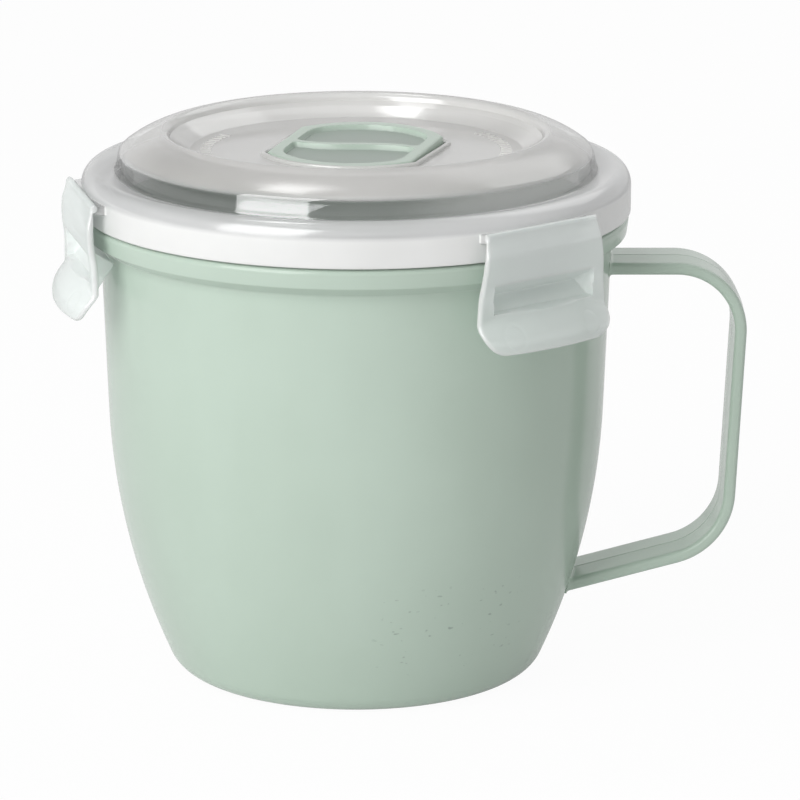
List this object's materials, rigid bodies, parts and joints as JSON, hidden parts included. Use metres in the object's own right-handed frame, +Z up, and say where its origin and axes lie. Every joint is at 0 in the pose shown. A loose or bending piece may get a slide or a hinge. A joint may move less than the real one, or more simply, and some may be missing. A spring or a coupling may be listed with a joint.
{
  "type": "soup mug",
  "caption": "Plastic soup mug with a strap handle and a translucent lid that clips under the rim bead and has a rocking steam vent",
  "frame": {"origin": "middle of the base, on the surface that the mug stands on", "axes": "+Z up along the mug's axis, +X towards the handle, Y across"},
  "size_m": [0.1652, 0.1376, 0.1312],
  "materials": {
    "sage": "satin sage green polypropylene",
    "frosted": "natural translucent polypropylene",
    "silicone": "white translucent silicone"
  },
  "bodies": {
    "mug": {"mug_body": "sage"},
    "lid": {"lid_shell": "frosted", "lid_seal": "silicone"},
    "clip_front": {"clip_front": "frosted"},
    "clip_back": {"clip_back": "frosted"},
    "clip_left": {"clip_left": "frosted"},
    "vent": {"vent_flap": "sage", "vent_seal": "silicone"}
  },
  "joints": [
    {"name": "lid_lift", "type": "slide", "parent": "mug", "child": "lid", "axis": [0, 0, 1], "range_m": [0, 0.018]},
    {"name": "clip_front_hinge", "type": "hinge", "parent": "lid", "child": "clip_front", "pos_m": [0.04198, -0.05093, 0.1185], "axis": [-0.7716, -0.6361, 0], "range_deg": [0, 135]},
    {"name": "clip_back_hinge", "type": "hinge", "parent": "lid", "child": "clip_back", "pos_m": [0.02105, 0.06255, 0.1185], "axis": [0.9478, -0.319, 0], "range_deg": [0, 135]},
    {"name": "clip_left_hinge", "type": "hinge", "parent": "lid", "child": "clip_left", "pos_m": [-0.06423, -0.01518, 0.1185], "axis": [-0.23, 0.9732, 0], "range_deg": [0, 135]},
    {"name": "vent_rocker", "type": "hinge", "parent": "lid", "child": "vent", "pos_m": [0, 0, 0.1241], "axis": [-0.9478, 0.319, 0], "range_deg": [-3, 3]}
  ],
  "couplings": [
    {"joint": "clip_front_hinge", "follows": "lid_lift", "rad_per_m": 130.89},
    {"joint": "clip_back_hinge", "follows": "lid_lift", "rad_per_m": 130.89},
    {"joint": "clip_left_hinge", "follows": "lid_lift", "rad_per_m": 130.89}
  ]
}
